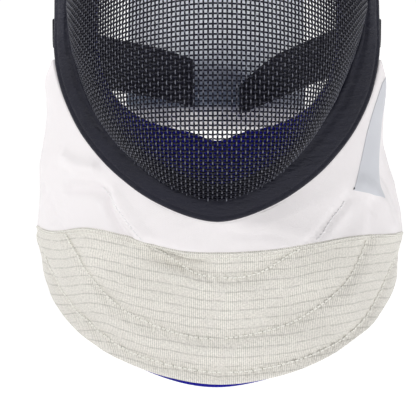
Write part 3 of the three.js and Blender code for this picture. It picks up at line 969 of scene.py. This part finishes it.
def wrinkles(points, drop):
    """Small soft waves over the cloth, from its place in space, in mm and radians per mm."""
    x, y, z = points[..., 0], points[..., 1], points[..., 2]
    wide = np.sin(x * 0.09 + z * 0.06 + 1.7 * np.sin(z * 0.05 + y * 0.03))
    fine = np.sin(x * 0.23 - z * 0.17 + 2.0 * np.sin(x * 0.06)) * np.sin(z * 0.11 + x * 0.04)
    return (0.45 * wide + 0.3 * fine) * np.clip(drop * 3, 0, 1)


def quilted_rise(side, drop):
    """How far the cloth swells between its stitched lines and along its creases."""
    side, drop = np.broadcast_arrays(side, drop)
    points = bib_plain(side, drop)
    near = np.min([distance_to_places(points, line) for line in seam_lines.values()], axis=0)
    deep = mix(QUILT["shallow"], 1.0, np.clip((drop - 1) / QUILT["deepens"], 0, 1))
    swell = deep * (QUILT["swell"] * (1 - bell(near, QUILT["reach"])) - QUILT["sink"])
    ruck = np.exp(-near / QUILT["pucker_reach"]) * np.sin(points[..., 0] + points[..., 2] * 0.8)
    folds = wrinkles(points, drop)
    for line, crease in crease_lines:
        folds = folds + crease["rise"] * bell(distance_to_places(points, line), crease["wide"])
    return swell + QUILT["pucker"] * deep * ruck + folds


# The panels lap at the seam: the silver one's edge lies on the white one, which dives under it.
LAP = {
    "under": 0.035, "thin": 1.2, "full": 0.03, "up": 0.6, "fade": 0.05, "dive": 2.1, "dive_by": 0.010,
    "tail": 0.6,
}
TUCK = {"share": 0.03, "length": 1.9}
# The white panel's rows of cloth: from one drop to the next, and how many.
WHITE_ROWS = table(
    "start end rows",
    (-TUCK["share"], 0, 3),
    (0, 1, 92),
    (1, 1 + LAP["dive_by"], 5),
    (1 + LAP["dive_by"], 1 + LAP["under"], 4),
)
SIDE_ROUNDING = 0.012
END_ROUNDING = 0.02


def white_surface(side, drop):
    """The bib's surface, continued in under the trim where drop is below 0."""
    _, _, inward, _ = trim_frame(side * bib_share)
    reach = TUCK["length"] * np.clip(-drop / TUCK["share"], 0, 1)
    return bib_point(side, np.maximum(drop, 0)) + inward * reach[..., None]


def lap_rise(drop):
    return np.where(drop >= 1, LAP["up"] * np.exp(-(drop - 1) / LAP["fade"]), 0.0)


def rounded_ends(u, v):
    return edge_round(u, -1, 1, SIDE_ROUNDING) * edge_round(v, v[0, 0], v[-1, 0], END_ROUNDING)


def bib_panel(name, node, surface, across, drops, thickness, outer, material):
    """A panel of the bib, from its rows' thickness and how far their outer face is lifted."""
    u, v = np.meshgrid(across, drops)
    lift = quilted_rise(u, v) + outer[:, None] - thickness[:, None] / 2
    piece = cloth(name, surface, across, drops, thickness[:, None] * rounded_ends(u, v), lift, material)
    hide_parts(node)
    return piece


def white_panel():
    drops = [np.linspace(row["start"], row["end"], row["rows"], endpoint=False) for row in WHITE_ROWS]
    drops = np.concatenate((*drops, (WHITE_ROWS[-1]["end"],)))
    under = np.clip((drops - 1) / LAP["dive_by"], 0, 1)
    thickness = mix(BIB["layer"], LAP["tail"], under)
    return bib_panel(
        "bib_white_cloth", "bib_upper", white_surface, spaced(340, -1, 1, SIDE_ROUNDING),
        drops, thickness, BIB["layer"] / 2 - LAP["dive"] * under, COTTON,
    )


def silver_panel():
    drops = spaced(104, 1, 2, END_ROUNDING)
    thickness = mix(LAP["thin"], BIB["layer"], np.clip((drops - 1) / LAP["full"], 0, 1))
    return bib_panel(
        "bib_silver_panel", "bib_lame", bib_point, spaced(390, -1, 1, SIDE_ROUNDING),
        drops, thickness, BIB["layer"] / 2 + lap_rise(drops), LAME,
    )


upper = white_panel()
lower = silver_panel()


def bib_lining():
    across = spaced(150, -1, 1, SIDE_ROUNDING)
    down = spaced(70, 0.004, 1.998, END_ROUNDING)
    u, v = np.meshgrid(across, down)
    lift = -(BIB["layer"] / 2 + GAP + BIB["lining"] / 2) + np.minimum(0.0, quilted_rise(u, v))
    thickness = BIB["lining"] * rounded_ends(u, v)
    piece = cloth("bib_blue_lining", lining_point, across, down, thickness, lift, BLUE)
    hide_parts("bib_lining")
    return piece


lining = bib_lining()


def bib_surface(side, drop):
    rise = quilted_rise(side, drop) + lap_rise(drop)
    return bib_point(side, drop) + outward(bib_point, side, drop) * rise[..., None]


STITCH, LAP_STITCH, TACK_STITCH, CORNER_STITCH = table(
    "pitch length radius",
    (3.2, 2.2, 0.54),
    (2.6, 1.9, 0.3),
    (1.0, 0.9, 0.3),
    (1.0, 0.9, 0.35),
)
# Sizes of the dark dots of painted shade in the needle holes.
HOLE = {"half": 0.30, "sunk": 0.14, "radius": 0.27}
SEWN_SIDES = 6


def sewn_line(name, places, size, stops, heights, radius, material):
    """Short threads along a line on the bib: their stops in mm, and each stop's height off it."""
    places = np.asarray(places, float)
    path = Line(bib_surface(places[:, 0], places[:, 1]))
    normals = outward(bib_point, places[:, 0], places[:, 1])
    made = []
    for start in np.arange(size["pitch"] / 2, path.total - size["length"], size["pitch"]):
        marks = start + stops
        normal = unit(np.stack([np.interp(marks, path.lengths, column) for column in normals.T], -1))
        made.append(tube(path.at_distance(marks) + normal * heights[:, None], normal, radius, SEWN_SIDES))
    piece = join_tubes(name, made, material)
    return piece


def stitches(name, places, lift, size, material):
    """Raised stitches, each dipping at its ends."""
    stops = size["length"] * np.array((0.0, 0.18, 0.5, 0.82, 1.0))
    heights = lift + size["radius"] * np.array((-0.8, 0.6, 1.0, 0.6, -0.8))
    return sewn_line(name, places, size, stops, heights, size["radius"], material)


def painted_hole_shades(name, places, lift, size):
    """Small dark dots sunk between the stitches of a line: painted shade in the needle holes."""
    stops = np.array((-HOLE["half"], 0.0, HOLE["half"])) - (size["pitch"] - size["length"]) / 2
    heights = np.full(3, lift - HOLE["sunk"])
    return sewn_line(name, places, size, stops, heights, HOLE["radius"], HOLE_SHADE)


SEAM_PARTS = table(
    "part slot thread start end sunk",
    ("silver", "lame", PALE_THREAD, 1.02, 2.0, 0.0),
    ("white", "cotton", WHITE_THREAD, 0.0, 0.97, 0.2),
)


def bib_stitches():
    made = []
    flush = BIB["layer"] / 2
    for name, line in seam_lines.items():
        for part in SEAM_PARTS:
            keep = (line[:, 1] > part["start"]) & (line[:, 1] < part["end"])
            lift = flush - part["sunk"]
            for side_name, half in (("left", line[:, 0] < 0), ("right", line[:, 0] >= 0)):
                chosen = line[keep & half]
                # The wide seam's thread is hidden in the white cloth.
                if len(chosen) < 4 or (name == "wide" and part["part"] == "white"):
                    continue
                made.append(stitches(
                    f"stitches_{name}_{part['part']}_{side_name}", chosen, lift, STITCH,
                    part["thread"],
                ))
                if part["part"] == "silver":
                    # Dark dots of painted shade in the needle holes.
                    made.append(painted_hole_shades(
                        f"painted_hole_shades_{name}_{side_name}", chosen, lift, STITCH,
                    ))
    for row, drop in (("top", 1.014), ("below", 1.045)):
        line = np.stack((np.linspace(-0.97, 0.97, 300), np.full(300, drop)), -1)
        made.append(stitches(f"stitches_lap_{row}", line, flush, LAP_STITCH, PALE_THREAD))
    made.append(stitches(
        "stitches_bar_tack", bib_line(BAR_TACK, 20), flush, TACK_STITCH, PALE_THREAD,
    ))
    return made


sewing = bib_stitches()


# The padded ring, the tongue, the straps with their outer ends, and the label


def liner_point(share, down):
    point, _, inward, _ = trim_frame(share)
    outer = point + inward * LINER["inset"] - FORWARD * LINER["behind"]
    inner = mirrored(opening_line, share)
    chin = np.where(inner[..., 2] < OPENING["temple_bottom"], 1.0, 0.0)
    inner[..., 2] -= chin * CHIN_NOTCH["depth"] * bell(inner[..., 0], CHIN_NOTCH["half"])
    return mix(inner, outer, down[..., None])


def padded_ring():
    across = round_shares(260)
    down = (1 - np.cos(np.linspace(0, np.pi, 25))) / 2
    u, v = np.meshgrid(across, down)
    round_off = np.maximum(0.02, 1 - (2 * v - 1) ** 2) ** 0.4
    middle = liner_point(u, v)
    lift = FORWARD * (LINER["thickness"] / 2 * round_off)[..., None]
    uvs = np.stack((u * LINER["length"], v * LINER["width"]), -1)
    piece = make_shell("blue_padded_ring", middle + lift, middle - lift, uvs, BLUE, wrap=True)
    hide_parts("inner_liner")


padded_ring()


def edge_tape():
    """The dark binding that joins the wire's edge to the padded ring and laps over its front; its wider
    lap at the chin is a dark sheet of painted shade over the ring's lower part.
    """
    shares = round_shares(240)
    point, _, inward, _ = trim_frame(shares)
    chin = np.clip((TAPE["chin_top"] - point[..., 2:]) / TAPE["chin_reach"], 0, 1)
    start = point - inward * TAPE["tuck"] - FORWARD * TAPE["front"]
    ring = liner_point(shares, np.ones(shares.shape))
    toward = unit(liner_point(shares, np.zeros(shares.shape)) - ring)
    front = ring + FORWARD * (LINER["thickness"] / 2 * TAPE["rests"])
    # At the chin the lap widens into painted shade over the ring.
    end = front + toward * mix(TAPE["lap"], TAPE["chin_shade_lap"], chin)
    stops = (start, mix(start, front, 0.5), front, mix(front, end, 0.5), end)
    outer = np.stack([stop + FORWARD * rise for stop, rise in zip(stops, TAPE_RISES)])
    inner = outer - FORWARD * TAPE["thickness"]
    piece = make_shell("inner_edge_tape", outer, inner, material=TRIM_LEATHER, wrap=True)


edge_tape()


def tongue_point(across, down, step=0.01):
    share = np.clip(down, 0, 1)
    middle = tongue_line.at_share(share)
    ahead = tongue_line.at_share(np.minimum(1, share + step))
    behind = tongue_line.at_share(np.maximum(0, share - step))
    along = unit(ahead - behind)
    out = np.stack((np.zeros(share.shape), -along[..., 2], along[..., 1]), -1)
    half = mix(TONGUE["half_top"], TONGUE["half_end"], share)
    sag = mix(TONGUE["sag_top"], TONGUE["sag_end"], share)
    middle = middle - out * (sag * across**2)[..., None]
    middle[..., 0] = -across * half
    return middle


def back_tongue():
    across = np.sin(np.linspace(-np.pi / 2, np.pi / 2, 61))
    down = spaced(110, 0, 1, END_ROUNDING)
    u, v = np.meshgrid(across, down)
    ends = edge_round(v, 0, 1, END_ROUNDING) * np.maximum(0.02, 1 - np.abs(u) ** 6) ** 0.5
    groove = TONGUE["groove"] * bell(np.abs(u) - TONGUE["seam"], TONGUE["groove_wide"])
    thickness = (TONGUE["thickness"] - groove) * ends
    piece = cloth("grey_padded_tongue", tongue_point, across, down, thickness, 0.0, GREY)
    # The inner faces take the material with the painted shade.
    piece.data.materials.append(GREY_INSIDE)
    # The shell's second layer of faces is the inner one.
    layer = (len(down) - 1) * (len(across) - 1)
    inside = np.zeros(len(piece.data.polygons), dtype=np.int32)
    inside[layer:2 * layer] = 1
    piece.data.polygons.foreach_set("material_index", inside)
    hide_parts("back_tongue")


back_tongue()


def strip(name, surface, across, down, thickness, lift, material, turned=False):
    """A strip over a surface's unit square.

    Each way takes a count, the reach of its close end steps, and the reach of its rounding.
    """
    (columns, side_steps, side_rounding), (rows, end_steps, end_rounding) = across, down
    across = spaced(columns, 0, 1, side_steps)
    down = spaced(rows, 0, 1, end_steps)
    u, v = np.meshgrid(across, down)
    ends = edge_round(u, 0, 1, side_rounding) * edge_round(v, 0, 1, end_rounding)
    piece = cloth(name, surface, across, down, thickness * ends, lift, material)
    if turned:
        piece.data.flip_normals()
    return piece


def strap_surface(shape):
    depth = edge_depth(shape["heights"][0]) - STRAP["behind"]
    route = ((STRAP["start"], depth), *STRAP_ROUTE)
    line = smooth_line([(x, -depth, z) for (x, depth), z in zip(route, shape["heights"])])

    def surface(across, down):
        share = np.clip(across, 0, 1)
        point = line.at_share(share)
        top = shape["cut"] * np.maximum(0.0, (share - STRAP["cut_from"]) / (1 - STRAP["cut_from"])) ** 2
        drop = (mix(top, 1, down) - 0.5) * shape["width"]
        height = point[..., 2] - drop
        at_liner = edge_depth(height) - edge_depth(point[..., 2])
        point[..., 1] -= at_liner * (1 - share) ** 3 + STRAP["lean"] * drop * share**2
        point[..., 2] = height
        point[..., 0] *= shape["side"]
        return point
    return surface


def strap(shape):
    piece = strip(
        "webbing_" + shape["name"], strap_surface(shape), (90, 0.01, 0.008), (24, 0.03, 0.025),
        STRAP["thickness"], 0.0, WEBBING, turned=shape["side"] > 0,
    )
    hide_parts("strap_" + shape["name"])


for row in STRAPS:
    strap(row)


def strap_tab(side, name, node):
    point, _, inward, _ = trim_frame(np.array(share_above(TAB["middle"])))
    tip = point - inward * (TRIM["width"] + 2 * GAP)

    def surface(across, down):
        slant = np.maximum(0.0, down - TAB["slant_from"]) * TAB["slant"]
        y = tip[1] + TAB["behind"] + across * TAB["length"] + slant * (1 - across)
        z = TAB["middle"] + (0.5 - down) * TAB["height"]
        x = tip[0] + TAB["bow"] * np.sin(across * 3)
        return np.stack(np.broadcast_arrays(x * side, y, z), -1)

    piece = strip(
        name, surface, (30, 0.06, 0.05), (20, 0.06, 0.06), TAB["thickness"], 0.0, WEBBING,
        turned=side < 0,
    )
    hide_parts(node)


strap_tab(-1, "webbing_tab_left", "strap_tab_left")
strap_tab(1, "webbing_tab_right", "strap_tab_right")


def side_label():
    left, right = (
        smooth_line([(side, drop, 0.0) for side, drop in edge]) for edge in (LABEL_LEFT, LABEL_RIGHT)
    )

    def surface(across, down):
        place = mix(left.at_share(down), right.at_share(down), across[..., None])
        return bib_surface(place[..., 0], place[..., 1])

    piece = strip(
        "bare_side_label", surface, (24, 0.04, 0.03), (80, 0.015, 0.012), LABEL["thickness"],
        BIB["layer"] / 2 + LABEL["lift"], PALE,
    )
    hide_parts("side_label")
    return piece


label = side_label()
corner_stitch = stitches(
    "stitches_label_corner", ((0.572, 0.419), (0.566, 0.430), (0.560, 0.441)),
    BIB["layer"] / 2 + LABEL["stitch_lift"], CORNER_STITCH, DARK_THREAD,
)


# Studio


FLOOR = {"half": 30.0, "level": -1.1, "glow": 0.42}
WHITE = (1.0, 1.0, 1.0, 1.0)
# A white wall behind the mask and a dimmer room in front of it, by how far back a ray points.
ROOM = {"From Min": -0.3, "From Max": 0.22, "To Min": 0.28, "To Max": 1.05}
AIMS = {"AREA": (0.0, -0.05, -0.2), "SPOT": (0.0, 0.09, -0.10)}
SPOT = {"angle": 13.0, "blend": 0.6}
LAMPS = table(
    "name kind place size power",
    ("key", "AREA", (-1.2, -1.15, 0.95), 0.35, 15.5),
    ("fill", "AREA", (1.3, -1.1, 0.0), 1.0, 5.8),
    ("spark", "AREA", (0.3, -1.7, 0.6), 0.1, 2.5),
    ("side_left", "SPOT", (-1.0, -0.25, 0.12), 0.06, 45.0),
    ("side_right", "SPOT", (1.0, -0.25, 0.12), 0.06, 30.0),
)


def floor():
    mesh = bpy.data.meshes.new("floor")
    half, level = FLOOR["half"], FLOOR["level"]
    corners = [(-half, -half, level), (half, -half, level), (half, half, level), (-half, half, level)]
    mesh.from_pydata(corners, [], [(0, 1, 2, 3)])
    nodes = Nodes("pale_floor")
    nodes.set(Base_Color=(0.92, 0.92, 0.92, 1.0), Roughness=0.9)
    mesh.materials.append(nodes.set(Emission_Color=WHITE, Emission_Strength=FLOOR["glow"]))
    place_object("floor", mesh)


def soft_room():
    nodes = Nodes("studio", bpy.data.worlds, "Background")
    back = nodes.part(nodes.add("ShaderNodeTexCoord").outputs["Generated"], 1)
    strength = nodes.filled("ShaderNodeMapRange", "Result", {"Value": back, **ROOM})
    return nodes.set(Color=WHITE, Strength=strength)


def lamp(row):
    light = bpy.data.lights.new(row["name"], row["kind"])
    light.energy = row["power"]
    if row["kind"] == "AREA":
        light.shape = "DISK"
        light.size = row["size"]
    else:
        light.spot_size = math.radians(SPOT["angle"])
        light.spot_blend = SPOT["blend"]
        light.shadow_soft_size = row["size"]
    placed = place_object(row["name"], light)
    placed.location = row["place"]
    toward = Vector(AIMS[row["kind"]]) - Vector(row["place"])
    placed.rotation_euler = toward.to_track_quat("-Z", "Y").to_euler()


def studio():
    scene = bpy.context.scene
    scene.world = soft_room()
    scene.view_settings.view_transform = "Standard"
    for row in LAMPS:
        lamp(row)


def camera():
    rise = math.radians(CAMERA["elevation"])
    back = np.array((0.0, -math.cos(rise), math.sin(rise))) * CAMERA["distance"]
    data = bpy.data.cameras.new("camera")
    data.sensor_width = CAMERA["sensor"]
    data.lens = CAMERA["sensor"] * CAMERA["distance"] / CAMERA["field"]
    eye = place_object("camera", data)
    eye.location = Vector((np.array(CAMERA_TARGET) + back) * MM)
    eye.rotation_euler = Vector(-back).to_track_quat("-Z", "Y").to_euler()
    bpy.context.scene.camera = eye


floor()
studio()
camera()
